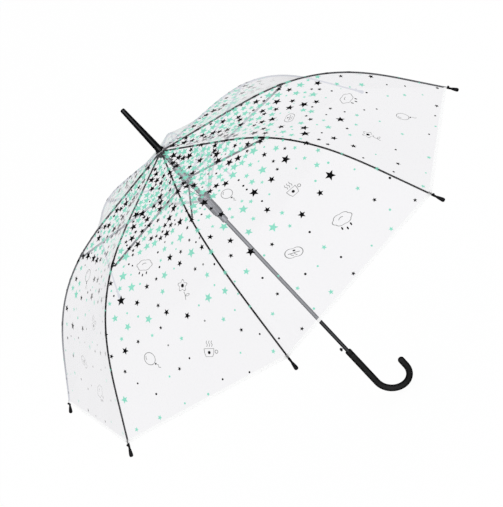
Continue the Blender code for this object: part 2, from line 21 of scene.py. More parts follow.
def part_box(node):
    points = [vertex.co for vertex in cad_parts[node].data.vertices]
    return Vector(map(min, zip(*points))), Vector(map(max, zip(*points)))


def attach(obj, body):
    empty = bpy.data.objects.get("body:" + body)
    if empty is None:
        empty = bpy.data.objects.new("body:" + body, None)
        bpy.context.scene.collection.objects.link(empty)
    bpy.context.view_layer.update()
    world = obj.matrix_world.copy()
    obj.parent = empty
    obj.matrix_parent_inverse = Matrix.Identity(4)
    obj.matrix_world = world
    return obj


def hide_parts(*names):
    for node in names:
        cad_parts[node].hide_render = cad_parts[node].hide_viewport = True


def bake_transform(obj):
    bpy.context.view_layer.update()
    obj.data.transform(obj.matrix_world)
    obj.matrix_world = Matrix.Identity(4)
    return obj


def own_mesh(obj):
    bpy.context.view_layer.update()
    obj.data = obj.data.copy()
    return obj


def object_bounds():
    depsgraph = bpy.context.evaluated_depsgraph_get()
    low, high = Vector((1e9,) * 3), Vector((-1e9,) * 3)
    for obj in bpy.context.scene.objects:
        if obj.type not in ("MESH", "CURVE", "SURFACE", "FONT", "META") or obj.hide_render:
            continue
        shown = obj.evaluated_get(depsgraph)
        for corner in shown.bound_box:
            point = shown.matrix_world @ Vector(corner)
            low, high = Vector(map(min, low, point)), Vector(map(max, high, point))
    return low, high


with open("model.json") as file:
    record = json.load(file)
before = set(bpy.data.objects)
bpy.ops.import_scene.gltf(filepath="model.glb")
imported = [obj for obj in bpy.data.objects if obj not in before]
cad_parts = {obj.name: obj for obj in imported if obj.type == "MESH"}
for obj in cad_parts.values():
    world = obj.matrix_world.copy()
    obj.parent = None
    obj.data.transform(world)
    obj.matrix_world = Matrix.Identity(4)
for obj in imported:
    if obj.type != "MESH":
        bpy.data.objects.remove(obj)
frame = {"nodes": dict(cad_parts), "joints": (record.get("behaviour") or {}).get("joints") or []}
CAD_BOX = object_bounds()

MM = 0.001
JOINTS = {joint["name"]: joint for joint in frame["joints"]}
CROWN_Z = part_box("ferrule")[0].z
RIB_COUNT = sum(name.startswith("rib_hinge_") for name in JOINTS)
HALF_GORE = pi / RIB_COUNT


def joint_place(name):
    """A joint's place in its rib's plane: azimuth, then x and z in millimetres from the crown."""
    x, y, z = JOINTS[name]["pos_m"]
    return atan2(y, x), hypot(x, y) / MM, (z - CROWN_Z) / MM


# ---- driving dimensions (millimetres and degrees) ----
RIB_LENGTH = 581  # pivot to film corner
RIB_RADIUS = 1.6
RIB_ROOT_ANGLE = 10.3  # below level at the notch
RIB_RIM_ANGLE = 53.2  # below level at the rim
BEND_START = 0.231  # shares of the rib's length between which it bends
BEND_END = 0.868
FLEX_MID = 276  # arc lengths where the record's flex joints stand
FLEX_END = 436
ROD_SPLIT = 0.5 * (FLEX_MID + FLEX_END)
NOTCH_X, NOTCH_Z = joint_place("rib_hinge_1")[1:]

JOINT_ARC = 250  # where the stretcher meets the rib
JOINT_DROP = 4.5
LINK_STATION = 0.29  # link pivot along the stretcher
STRETCHER_Y = 2.6
LINK_Y = 0.9
UPPER_X, UPPER_Z = 8.3, joint_place("stretcher_hinge_1")[2]
LOWER_X, LOWER_Z = 11.5, joint_place("link_hinge_1")[2]

FILM_LIFT = 1.95  # film above the rib's centreline
FILM_START = 3  # arc length where a gore starts
FILM_END = RIB_LENGTH - 3.5
FILM_SAG = 9  # deepest sag of a gore's middle
HEM_WIDTH = 6
CROWN_DEPTH = 0.4  # film under the ferrule's foot at its start
CROWN_EASE = 50  # arc length over which the film settles onto the rib
RIPPLE = 0.5  # height of the film's ripples at the hem
RIPPLE_ACROSS = 0.055  # their turn in radians for each millimetre across
RIPPLE_ALONG = 4  # and from the crown to the hem

RIBS = [(k, joint_place(f"rib_hinge_{k}")[0]) for k in range(1, RIB_COUNT + 1)]  # numbers, azimuths
SIDE = np.array([0, 1, 0])  # square to a rib's plane
AXIS = 0.05  # radius where a turned profile meets its axis


# ---- rib and film curves ----
def smoothstep(value):
    """Ease from 0 to 1 with level ends, for numbers and arrays."""
    value = np.clip(value, 0, 1)
    return value * value * (3 - 2 * value)


def rib_slope(arc):
    """Slope below horizontal in radians at an arc length."""
    share = (np.asarray(arc) / RIB_LENGTH - BEND_START) / (BEND_END - BEND_START)
    return np.radians(RIB_ROOT_ANGLE + (RIB_RIM_ANGLE - RIB_ROOT_ANGLE) * smoothstep(share))


ARCS = np.linspace(0, RIB_LENGTH + 30, 1600)  # the curve runs on past the film's corner
_middle = rib_slope(0.5 * (ARCS[1:] + ARCS[:-1]))
_step = ARCS[1] - ARCS[0]
RIB_X = NOTCH_X + np.concatenate([[0], np.cumsum(np.cos(_middle) * _step)])
RIB_Z = NOTCH_Z - np.concatenate([[0], np.cumsum(np.sin(_middle) * _step)])


def rib_point(arc, lift=0):
    """(x, z) on the rib's centreline, or lifted off it towards the film."""
    slope = rib_slope(arc)
    x = np.interp(arc, ARCS, RIB_X) + lift * np.sin(slope)
    z = np.interp(arc, ARCS, RIB_Z) + lift * np.cos(slope)
    return x, z


def film_line(arc):
    """(x, z) of the film over a rib, settling onto the flat crown near the shaft."""
    x, z = rib_point(arc, FILM_LIFT)
    crown_step = -CROWN_DEPTH - rib_point(FILM_START, FILM_LIFT)[1]
    return x, z + crown_step * (1 - smoothstep((arc - FILM_START) / CROWN_EASE))


GORE_ARCS = np.linspace(FILM_START, FILM_END, 900)
GORE_X, GORE_Z = film_line(GORE_ARCS)
_run = np.hypot(np.diff(GORE_X) * cos(HALF_GORE), np.diff(GORE_Z))
GORE_DOWN = np.concatenate([[0], np.cumsum(_run)])  # length down the middle of a gore
GORE_HALF = GORE_X * sin(HALF_GORE)  # half width of the flat gore


def half_width(down):
    """Half width of the flattened gore at a length down its middle."""
    return float(np.interp(down, GORE_DOWN, GORE_HALF))


def down_at(arc):
    """Length down the middle of a gore where it passes an arc length of the rib."""
    return float(np.interp(arc, GORE_ARCS, GORE_DOWN))


def gore_surface(across, down):
    """Points (n, 3) of a gore whose middle runs along +x, from flat gore coordinates."""
    arc = np.interp(down, GORE_DOWN, GORE_ARCS)
    x, z = film_line(arc)
    share = np.clip(0.5 + 0.5 * across / (x * sin(HALF_GORE)), 0, 1)
    bow = 4 * share * (1 - share)
    along = (arc - FILM_START) / (FILM_END - FILM_START)
    sag = FILM_SAG * bow * np.sin(pi * np.clip(along, 0, 1) ** 0.9) ** 0.7
    sag += RIPPLE * bow * np.sin(across * RIPPLE_ACROSS + along * RIPPLE_ALONG) * along
    slope = rib_slope(arc)
    mid_x = x * cos(HALF_GORE) - sag * np.sin(slope)
    return np.column_stack([mid_x, across, z - sag * np.cos(slope)])


# ---- mesh helpers ----
def spin(points, azimuth):
    """Turn points (n, 3) about Z."""
    c, s = cos(azimuth), sin(azimuth)
    return points @ np.array([[c, s, 0], [-s, c, 0], [0, 0, 1]])


def to_frame(points):
    """Millimetres from the crown to metres in the frame."""
    return np.asarray(points, float) * MM + np.array([0, 0, CROWN_Z])


def show(name, data):
    """A new object in the scene."""
    made = bpy.data.objects.new(name, data)
    bpy.context.scene.collection.objects.link(made)
    return made


def new_object(name, points, faces, materials, kinds=None, sharp=None):
    """A smooth-shaded mesh object; kinds gives each face its material's number."""
    mesh = bpy.data.meshes.new(name)
    mesh.from_pydata(to_frame(points).tolist(), [], [list(face) for face in faces])
    for surface in materials:
        mesh.materials.append(surface)
    if kinds is not None:
        mesh.polygons.foreach_set("material_index", kinds)
    mesh.shade_smooth()
    if sharp:
        mesh.set_sharp_from_angle(angle=radians(sharp))
    return show(name, mesh)


def fit(piece, body, slot, *stands_for):
    """Ride a piece on a body and hide the CAD nodes it stands for. The slot argument is not used."""
    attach(piece, body)
    if stands_for:
        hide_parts(*stands_for)


def join_shells(*shells):
    """Put several (points, faces) shells into one."""
    points, faces, base = [], [], 0
    for shell_points, shell_faces in shells:
        points.append(np.asarray(shell_points, float))
        faces += [[base + i for i in face] for face in shell_faces]
        base += len(shell_points)
    return np.vstack(points), faces


def around(count):
    """Angles of equal steps around a turn."""
    return np.linspace(0, 2 * pi, count, endpoint=False)


def skin(rings, closed=False):
    """Faces over equal rings of points, with end caps last unless closed; returns (points, faces)."""
    count = len(rings[0])
    last = len(rings) - 1
    pairs = [(row, row + 1) for row in range(last)] + ([(last, 0)] if closed else [])
    faces = []
    for low, high in pairs:
        for i in range(count):
            j = (i + 1) % count
            faces.append([low * count + i, low * count + j, high * count + j, high * count + i])
    if not closed:
        faces.append(list(range(count))[::-1])
        faces.append([last * count + i for i in range(count)])
    return np.vstack(rings), faces


def tube(path, radii, sides=14, closed=False):
    """A tube along a curve in a rib's plane; radii are (square to the plane, in it) pairs."""
    path = np.asarray(path, float)
    if closed:
        tangent = np.roll(path, -1, axis=0) - np.roll(path, 1, axis=0)
    else:
        tangent = np.gradient(path, axis=0)
    tangent /= np.linalg.norm(tangent, axis=1)[:, None]
    turns = around(sides)
    rings = []
    for centre, up, (wide, high) in zip(path, np.cross(SIDE, tangent), radii):
        rings.append(centre + np.outer(np.cos(turns) * wide, SIDE) + np.outer(np.sin(turns) * high, up))
    return skin(rings, closed=closed)


def lathe(profile, segments, flutes=0, depth=0):
    """Turn (radius, height) points about Z, with flutes of a depth cut into each ring."""
    turns = around(segments)
    rings = []
    for radius, height in profile:
        reach = radius - depth * (0.5 - 0.5 * np.cos(turns * flutes))
        heights = np.full(segments, height)
        rings.append(np.column_stack([reach * np.cos(turns), reach * np.sin(turns), heights]))
    return skin(rings)


def rounded(profile, share, most=1.2, steps=4):
    """Round the inner corners of a (radius, height) profile over a share of their sides."""
    corners = [np.array(point, float) for point in profile]
    out = [corners[0]]
    for before, corner, after in zip(corners, corners[1:], corners[2:]):
        start = corner + (before - corner) * share
        end = corner + (after - corner) * share
        reach = min(np.linalg.norm(start - corner), np.linalg.norm(end - corner), most)
        start = corner + (before - corner) / np.linalg.norm(before - corner) * reach
        end = corner + (after - corner) / np.linalg.norm(after - corner) * reach
        for i in range(steps + 1):
            t = i / steps
            out.append((1 - t) ** 2 * start + 2 * t * (1 - t) * corner + t * t * end)
    out.append(corners[-1])
    return out


def in_rib_plane(x, z):
    """Stack plane coordinates into (n, 3) points."""
    return np.column_stack([x, np.zeros(len(x)), z])


# ---- materials ----
class Nodes:
    """Short way to build a material's node tree."""

    def __init__(self, tree):
        self.tree = tree
        tree.nodes.clear()

    def add(self, kind, **inputs):
        """A shader node; inputs are values or sockets, by input name or by _ and its number."""
        node = self.tree.nodes.new("ShaderNode" + kind)
        for key, value in inputs.items():
            self.feed(node, int(key[1:]) if key[0] == "_" else key.replace("_", " "), value)
        return node

    def feed(self, node, name, value):
        """Give a node's input a value or a link."""
        if isinstance(value, bpy.types.NodeSocket):
            self.tree.links.new(value, node.inputs[name])
        else:
            node.inputs[name].default_value = value

    def read(self, kind, output):
        """An output of a node that only reads the scene."""
        return self.add(kind).outputs[output]

    def work_out(self, kind, operation, inputs):
        """A Math or Vector Math node."""
        node = self.add(kind, **{f"_{number}": value for number, value in enumerate(inputs)})
        node.operation = operation
        return node

    def math(self, operation, *inputs, clamp=False):
        """Output of a Math node."""
        node = self.work_out("Math", operation, inputs)
        node.use_clamp = clamp
        return node.outputs[0]

    def math_add(self, *inputs):
        """value * factor + offset."""
        return self.math("MULTIPLY_ADD", *inputs)

    def vector(self, operation, *inputs):
        """Output of a Vector Math node; a number where the operation gives one."""
        node = self.work_out("VectorMath", operation, inputs)
        return node.outputs["Value" if operation in ("LENGTH", "DOT_PRODUCT") else "Vector"]

    def height(self, vector):
        """The z of a vector."""
        return self.add("SeparateXYZ", _0=vector).outputs[2]

    def facing(self):
        """0 where a surface faces the viewer, 1 at its outline."""
        return self.add("LayerWeight", Blend=0.5).outputs["Facing"]

    def mix(self, factor, first, second):
        """Output of a Mix Shader node."""
        return self.add("MixShader", _0=factor, _1=first, _2=second).outputs[0]

    def colour(self, kind, factor, first, second):
        """Output of a colour mix."""
        node = self.add("Mix")
        node.data_type = "RGBA"
        node.blend_type = kind
        for number, value in ((0, factor), (6, first), (7, second)):
            self.feed(node, number, value)
        return node.outputs[2]

    def ramp(self, value, *stops):
        """Output colour of a ramp with (position, grey) stops."""
        node = self.add("ValToRGB", Fac=value)
        elements = node.color_ramp.elements
        while len(elements) < len(stops):
            elements.new(1)
        for element, (position, grey) in zip(elements, stops):
            element.position = position
            element.color = (grey, grey, grey, 1)
        return node.outputs["Color"]

    def noise(self, scale, detail=3, stretch=(1, 1, 1)):
        """Noise in object space, with features of about 1 / scale metres."""
        place = self.read("TexCoord", "Object")
        mapped = self.add("Mapping", Vector=place, Scale=stretch).outputs[0]
        return self.add("TexNoise", Vector=mapped, Scale=scale, Detail=detail).outputs["Fac"]

    def bump(self, strength, distance, height):
        """Normal of a bumped surface."""
        return self.add("Bump", Strength=strength, Distance=distance, Height=height).outputs[0]

    def clear(self):
        """A shader that lets everything through."""
        return self.read("BsdfTransparent", 0)

    def finish(self, shader):
        """Send a shader to the surface."""
        self.add("OutputMaterial", Surface=shader)


def new_material(name):
    """An empty node material and its node helper."""
    made = bpy.data.materials.new(name)
    made.use_nodes = True
    made.cycles.emission_sampling = "NONE"  # the painted haze glow and the floor's glow are seen, and aren't lamps
    return made, Nodes(made.node_tree)


def shades(colour, darker, lighter):
    """Two shades of a colour."""
    return tuple(c * darker for c in colour) + (1,), tuple(min(1, c * lighter) for c in colour) + (1,)


FLOOR_Z = CAD_BOX[0].z - 0.002
VEIL_START = 0.004  # metres under the film where the painted glow for its haze begins to show
VEIL_DEPTH = 0.12  # metres under the film where that painted glow has its full effect
VEIL_GRAZING = 0.20  # where the view grazes the film
VEIL_FAR = 0.85  # where the dome is seen from within
# colour of the painted glow that stands in for light scattered by the film's haze
HAZE_GLOW_COLOUR = (0.90, 0.92, 0.98, 1)
# The dome's drop over a radius r in metres is DROP * r + DROP_CUBED * r ** 3.
_powers = np.column_stack([GORE_X * MM, (GORE_X * MM) ** 3])
DROP, DROP_CUBED = np.linalg.lstsq(_powers, -GORE_Z * MM, rcond=None)[0].tolist()


def covered_by_film(nodes):
    """1 where the film lies between the shaded point and the viewer. The floor, which is clear
    from below, is one more layer for a viewer under it."""
    point = nodes.add("NewGeometry").outputs
    reach = nodes.read("CameraData", "View Distance")
    viewer = nodes.vector("MULTIPLY_ADD", point["Incoming"], reach, point["Position"])
    under = nodes.math("LESS_THAN", nodes.height(viewer), FLOOR_Z)
    depth = nodes.read("LightPath", "Transparent Depth")
    return nodes.math("GREATER_THAN", depth, nodes.math_add(under, 1, 0.5))


def across_profile(nodes, *steps):
    """A ramp across a round piece: 0 along its middle line, 1 at its two outlines."""
    straight = nodes.math("SUBTRACT", 1, nodes.facing())
    square = nodes.math("SUBTRACT", 1, nodes.math("MULTIPLY", straight, straight), clamp=True)
    return nodes.ramp(nodes.math("SQRT", square), *steps)


def painted_haze_glow(nodes, deep_glow):
    """Share of painted glow, standing in for light scattered by the film's haze, laid over a point: little
    close under the film, up to the given share deep inside the dome, more where the view grazes the film, and
    most where the dome is seen from within."""
    place = nodes.read("TexCoord", "Object")
    flat = nodes.vector("MULTIPLY", place, (1, 1, 0))
    radius = nodes.vector("LENGTH", flat)
    square = nodes.math("MULTIPLY", radius, radius)
    drop = nodes.math("MULTIPLY", radius, nodes.math_add(square, DROP_CUBED, DROP))
    below = nodes.math("SUBTRACT", nodes.math("SUBTRACT", CROWN_Z - VEIL_START, nodes.height(place)), drop)
    tilt = nodes.math_add(square, 3 * DROP_CUBED, DROP)
    away = nodes.vector("NORMALIZE", flat)
    outward = nodes.vector("MULTIPLY_ADD", away, tilt, (0, 0, 1))
    turned = nodes.add("VectorTransform", _0=nodes.read("NewGeometry", "Incoming"))
    turned.convert_from, turned.convert_to = "WORLD", "OBJECT"
    facing = nodes.vector("DOT_PRODUCT", nodes.vector("NORMALIZE", outward), turned.outputs[0])
    path = nodes.math("DIVIDE", below, nodes.math("MAXIMUM", facing, 0.1))
    deep = nodes.math("POWER", nodes.math("MULTIPLY", path, 1 / VEIL_DEPTH, clamp=True), 0.6)
    shifted = nodes.math("ADD", facing, 0.2, clamp=True)
    grazing = nodes.ramp(shifted, (0.13, VEIL_FAR), (0.22, VEIL_GRAZING), (0.56, 0))
    sideways = nodes.math_add(nodes.vector("DOT_PRODUCT", away, turned.outputs[0]), 0.5, 0.5)
    behind = nodes.ramp(sideways, (0.20, VEIL_FAR), (0.40, 0))
    # painted highlight and shade within that glow: stronger along the middle of round pieces, weaker towards
    # their outlines
    painted_roundness = across_profile(nodes, (0, 0.95 * deep_glow), (0.24, 1.45 * deep_glow), (0.48, 0.80 * deep_glow),
                                 (0.80, 0.55 * deep_glow), (1, 0.40 * deep_glow))
    inside = nodes.math("MAXIMUM", grazing, behind)
    most = nodes.math("MAXIMUM", nodes.math("MULTIPLY", deep, painted_roundness), inside)
    return nodes.math("MULTIPLY", most, covered_by_film(nodes))


def solid_material(name, colour, rough, spread=0.07, bump=0.20, scale=1300, metallic=0, specular=0.5,
                   stretch=(1, 1, 1), mottle=0.25, painted_sheen=0, width=0.5, deep_glow=0.29):
    """Principled finish with mottled colour, uneven roughness and a fine bump, with a painted glow for the
    film's haze mixed over it.
    A painted highlight of the given sheen strength lifts the colour along the middle of round pieces, over a
    share (width) of their width, as under one big soft light, and the gloss fades to their outlines."""
    made, nodes = new_material(name)
    coarse = nodes.noise(scale * 0.06, 2, stretch)
    fine = nodes.noise(scale, 4, stretch)
    mottled = nodes.colour("MIX", coarse, *shades(colour, 1 - mottle, 1 + mottle))
    # painted highlight: the colour is lifted along the middle of round pieces, over a share of their width,
    # as under one big soft light; the lift is mottled with the finish
    highlight_band = across_profile(nodes, (0, 1), (0.55 * width, 0.7), (width, 0))
    lift = nodes.math("MULTIPLY", highlight_band, nodes.math_add(coarse, 1.2 * mottle, 1 - 0.6 * mottle))
    lit = nodes.colour("ADD", lift, mottled, (painted_sheen, painted_sheen, 1.04 * painted_sheen, 1))
    gloss = across_profile(nodes, (0, specular), (0.5, 0.7 * specular), (0.95, 0))
    shader = nodes.add("BsdfPrincipled", Base_Color=lit, Metallic=metallic, Specular_IOR_Level=gloss,
                       Roughness=nodes.math_add(fine, 2 * spread, rough - spread),
                       Normal=nodes.bump(bump, 0.0002, fine))
    # painted glow: an emission in a pale colour stands in for light scattered by the film's haze and is mixed
    # over the finish
    haze = nodes.add("Emission", Color=HAZE_GLOW_COLOUR)
    nodes.finish(nodes.mix(painted_haze_glow(nodes, deep_glow), shader.outputs[0], haze.outputs[0]))
    return made


def far_layer(nodes, washed):
    """washed where a sheet's inside is seen through another layer of film."""
    inside = nodes.read("NewGeometry", "Backfacing")
    return nodes.math("MULTIPLY", nodes.math("MULTIPLY", inside, covered_by_film(nodes)), washed)


def film_material(name, clarity, haze, tint, gloss=1):
    """Clear film: mostly see-through, with a white haze, a soft gloss and greyer edges."""
    made, nodes = new_material(name)
    ripple = nodes.noise(34, 2, (1, 1, 0.4))
    grain = nodes.noise(900)
    waved = nodes.bump(0.35, 0.002, nodes.math_add(grain, 0.03, ripple))
    facing = nodes.facing()
    edge = nodes.ramp(facing, (0, 1), (0.55, 0.997), (0.86, 0.985), (1, 0.91))
    cloud = nodes.math_add(nodes.noise(9, 2), 0.02, 0.99)
    tinted = nodes.colour("MULTIPLY", 1, nodes.math("MULTIPLY", edge, cloud),
                          tuple(c * clarity for c in tint) + (1,))
    clear = nodes.add("BsdfTransparent", Color=tinted).outputs[0]
    milky = nodes.add("BsdfTranslucent", Color=(*tint, 1)).outputs[0]
    shine = nodes.math_add(nodes.math("POWER", facing, 5), 0.16 * gloss, 0.03 * gloss)
    mirror = nodes.add("BsdfGlossy", Roughness=0.12, Normal=waved).outputs[0]
    near_layer = nodes.mix(shine, nodes.mix(haze, clear, milky), mirror)
    nodes.finish(nodes.mix(far_layer(nodes, 0.88), near_layer, nodes.clear()))
    return made


def ink_material(name, colour, cover, washed=0.93):
    """Printed ink: slightly uneven, a little see-through, and washed out on the far side."""
    made, nodes = new_material(name)
    speckle = nodes.noise(1400)
    patchy = nodes.colour("MIX", nodes.noise(60, 2), *shades(colour, 0.86, 1.12))
    front = nodes.add("BsdfPrincipled", Base_Color=patchy, Roughness=0.45, Specular_IOR_Level=0.10,
                      Normal=nodes.bump(0.15, 0.0001, speckle)).outputs[0]
    through = nodes.add("BsdfTranslucent", Color=patchy).outputs[0]
    clear = nodes.clear()
    shown = nodes.mix(nodes.math_add(speckle, 0.12, cover - 0.06), clear, nodes.mix(0.35, front, through))
    grazing = nodes.ramp(nodes.facing(), (0.64, 0), (0.88, 0.72))
    hidden = nodes.math("MAXIMUM", far_layer(nodes, washed), grazing)
    nodes.finish(nodes.mix(hidden, shown, clear))
    return made


FILM = film_material("clear_film", 0.936, 0.05, (0.989, 0.984, 1))
HEM = film_material("film_hem", 1, 0.85, (1, 1, 1), gloss=0.2)
INK_BLACK = ink_material("ink_black", (0.003, 0.003, 0.004), 1.05)
INK_MINT = ink_material("ink_mint", (0.22, 0.68, 0.52), 0.94, washed=0.50)
INK_GREY = ink_material("ink_grey", (0.09, 0.095, 0.095), 0.80)
ROD = solid_material("black_fibreglass", (0.004, 0.004, 0.005), 0.42, spread=0.08, bump=0.25,
                     scale=2200, specular=0.10, painted_sheen=0.004)
STEEL = solid_material("black_steel", (0.008, 0.009, 0.011), 0.30, spread=0.08, scale=1500,
                       specular=0.2, painted_sheen=0.10, width=0.68)
STRUT = solid_material("strut_steel", (0.010, 0.011, 0.013), 0.32, spread=0.08, scale=1500,
                       specular=0.3, painted_sheen=0.05, deep_glow=0.55)
GRIP = solid_material("handle_matte", (0.005, 0.005, 0.005), 0.55, bump=0.50, scale=4200,
                      specular=0.10, mottle=0.8, painted_sheen=0.021, width=0.80)
PLASTIC = solid_material("black_plastic", (0.004, 0.004, 0.005), 0.36, specular=0.12, painted_sheen=0.085, width=0.34)
RUNNER = solid_material("runner_plastic", (0.006, 0.006, 0.008), 0.28, spread=0.06, specular=0.4,
                        painted_sheen=0.14, deep_glow=0.38)
TIP = solid_material("tip_plastic", (0.004, 0.004, 0.005), 0.40, spread=0.06, scale=1600,
                     specular=0.15, painted_sheen=0.01)
DRAWN = {"bump": 0.15, "scale": 3000, "stretch": (1, 1, 0.2)}  # grain along a drawn wire
WIRE = solid_material("bright_wire", (0.55, 0.55, 0.57), 0.24, metallic=1, **DRAWN)
SPRING = solid_material("spring_wire", (0.10, 0.105, 0.11), 0.30, metallic=0.8, deep_glow=0.24, **DRAWN)


# ---- print on the film ----
LINE = 0.95  # width of a drawn line
DRAWING_SCALE = 1.32
DRAWING_REACH = 21  # room kept round a drawing
DRAWING_SPOTS = ((0.50, -0.25), (0.66, 0.34), (0.78, -0.30), (0.87, 0.22))  # shares down and across
STAR_WAIST = 0.44  # inner radius of a star as a share of its outer one
STAR_REACHES = (9.4, 7, 4.6, 2.2)  # centre to point of each size; the last is a dot
DOT_LIMIT = 3  # smaller marks are dots
# Bands down the gore: start, end, marks in it, and odds of each size of mark.
PRINT_BANDS = (
    (14, 60, 26, (0.44, 0.44, 0.12, 0.00)),
    (60, 110, 44, (0.60, 0.27, 0.10, 0.03)),
    (110, 170, 58, (0.54, 0.26, 0.12, 0.08)),
    (170, 235, 46, (0.44, 0.27, 0.15, 0.14)),
    (235, 310, 34, (0.20, 0.26, 0.27, 0.27)),
    (310, 400, 24, (0.07, 0.20, 0.33, 0.40)),
    (400, 480, 13, (0.00, 0.07, 0.33, 0.60)),
    (480, 575, 10, (0.00, 0.00, 0.25, 0.75)),
)
SEAM_BANDS = ((20, 70, 2), (70, 140, 4), (140, 230, 4), (230, 330, 3), (330, 470, 2))
TRIES = 60  # places tried for each mark; the roomiest is taken
CROWDED_END = 170  # down to here the marks of a gore interlock
CROWDED_SHARE, OPEN_SHARE, SEAM_SHARE = 0.70, 0.84, 0.92  # of a mark's reach kept free of others
MARK_GAP = 0.3  # least room between marks
SEAM_GAP = 1.2  # and between a mark and a seam
GREY_ODDS = 0.12  # of a dot


def loop(centre, turn, reach, steps, stretch=(1, 1)):
    """Closed outline about a centre; reach is a radius or a function of the angle."""
    c, s = cos(turn), sin(turn)
    points = []
    for i in range(steps):
        angle = 2 * pi * i / steps
        radius = reach(angle) if callable(reach) else reach
        x, y = radius * cos(angle) * stretch[0], radius * sin(angle) * stretch[1]
        points.append((centre[0] + x * c - y * s, centre[1] + x * s + y * c))
    return points


def mark(centre, turn, reach, colour):
    """A printed plump star, or a dot when it is small."""
    if reach < DOT_LIMIT:
        return loop(centre, 0, reach, 8), None, colour

    def point_or_waist(angle):
        return reach if round(angle * 5 / pi) % 2 == 0 else STAR_WAIST * reach

    return loop(centre, turn, point_or_waist, 10), None, colour


class Pen:
    """Draws about a place on the flat gore. A shape is its outline, its hole if any and its ink."""

    def __init__(self, centre, turn):
        self.centre = centre
        self.turn = turn
        self.shapes = []

    def placed(self, x, y):
        """A drawing's own (x, y) as a place on the gore."""
        c, s = cos(self.turn), sin(self.turn)
        return self.centre[0] + x * c - y * s, self.centre[1] + x * s + y * c

    def keep(self, outline, hole, ink):
        """Keep a shape, enlarged about the drawing's centre."""
        def larger(shape):
            return [tuple(c + DRAWING_SCALE * (p - c) for p, c in zip(point, self.centre)) for point in shape]

        self.shapes.append((larger(outline), larger(hole) if hole else None, ink))

    def closed(self, outline):
        """A closed line."""
        points = np.array(outline)
        centre = points.mean(axis=0)
        reach = np.linalg.norm(points - centre, axis=1).mean()
        self.keep(outline, [tuple(p) for p in centre + (points - centre) * (1 - LINE / reach)], "grey")

    def ring(self, x, y, reach, steps, stretch=(1, 1)):
        """A closed line about (x, y)."""
        self.closed(loop(self.placed(x, y), self.turn, reach, steps, stretch))

    def line(self, *points):
        """An open line."""
        path = np.array(points, float)
        along = np.gradient(path, axis=0)
        along /= np.linalg.norm(along, axis=1)[:, None]
        side = np.column_stack([-along[:, 1], along[:, 0]]) * LINE / 2
        outline = np.vstack([path - side, (path + side)[::-1]])
        self.keep([self.placed(*point) for point in outline], None, "grey")

    def patch(self, x, y, reach, stretch=(1, 1)):
        """A small solid patch."""
        self.keep(loop(self.placed(x, y), self.turn, reach, 12, stretch), None, "black")


def draw_cloud(pen):
    """Cloud with raindrops."""
    pen.ring(0, -3, lambda a: 10 * (1 + 0.14 * abs(cos(3 * a))), 48, (1.3, 0.75))
    for x, y in ((-6.5, 8.5), (0, 11.5), (6.5, 8.5)):
        pen.patch(x, y, 1.9, (0.6, 1.2))
    pen.line((-5, -3.5), (-2.5, -5.5), (0, -6), (2.5, -5.5))


def draw_flower(pen):
    """Flower on a stalk."""
    pen.ring(0, -5, lambda a: 8.6 * (0.80 + 0.20 * cos(5 * a)), 50)
    pen.patch(0, -5, 2.6)
    pen.line((0, 3.6), (0.8, 8), (0.2, 12), (0, 15))
    pen.ring(4.6, 9.5, 2.9, 14, (1.25, 0.6))


def draw_balloon(pen):
    """Balloon on a string."""
    pen.ring(0, -5, 9.6, 34, (0.85, 1))
    pen.line((-4, -8), (-2.8, -10.4), (-0.6, -11.8))
    pen.patch(0, 6.4, 1.5, (1, 0.8))
    pen.line((0, 8.4), (1.3, 10.4), (-1, 12.6), (0.6, 15.6))


def draw_cup(pen):
    """Steaming cup."""
    cup = ((-8, -2), (8, -2), (7.4, 4), (5.4, 9), (-5.4, 9), (-7.4, 4))
    pen.closed([pen.placed(*point) for point in cup])
    pen.ring(11.2, 2.4, 2.6, 14)
    for x in (-3.2, 0.6, 4.4):
        pen.line((x, -4.2), (x + 1.2, -6.8), (x - 0.6, -9.2), (x + 0.6, -12))
    pen.patch(0, 3.4, 2.2)


def draw_leaf(pen):
    """Leaf with veins."""
    pen.ring(0, 0, lambda a: 12 * (0.55 + 0.45 * abs(cos(a)) ** 1.5), 40, (1.05, 0.9))
    pen.line((-8, 0), (-3, 0.4), (3, 0), (8, 0.3))
    for x in (-5, 0):
        pen.line((x, 1.2), (x + 1.6, 2.8), (x + 3.6, 3.8))
    pen.patch(1, -2.8, 1.5, (1.3, 0.7))


DRAWINGS = (draw_cloud, draw_flower, draw_balloon, draw_cup, draw_leaf)


def pick_colour(chance, down):
    """Mint leads near the crown, and black further out."""
    return "mint" if chance.random() < (0.62 if down < 200 else 0.55 if down < 330 else 0.45) else "black"


def seam_marks(rib):
    """Stars that lie across a rib: length down the gore, turn from the seam, reach and colour.
    The gores on both sides of the rib draw the same ones."""
    chance = random.Random(900 + rib)
    marks = []
    for start, end, count in SEAM_BANDS:
        for i in range(count):
            down = start + (end - start) * (i + chance.uniform(0.15, 0.85)) / count
            reach = chance.choice(STAR_REACHES[:3]) * (1 if down < 250 else 0.75)
            marks.append((down, chance.uniform(0, 1.3), reach, pick_colour(chance, down)))
    return marks


def roomiest_place(chance, start, end, reach, kept_reach, taken):
    """(across, down) of the place in a band with the most room for a mark that keeps kept_reach
    free round it, or None."""
    best, widest = None, MARK_GAP
    for _ in range(TRIES):
        down = chance.uniform(start, min(end, GORE_DOWN[-1] - HEM_WIDTH - reach - 1))
        room = half_width(down) - reach - SEAM_GAP
        place = (chance.uniform(-1, 1) * max(room, 0), down)
        if room <= 0:
            continue
        gap = min(dist(place, other) - kept_reach - taken_reach for *other, taken_reach in taken)
        if gap > widest:
            best, widest = place, gap
    return best


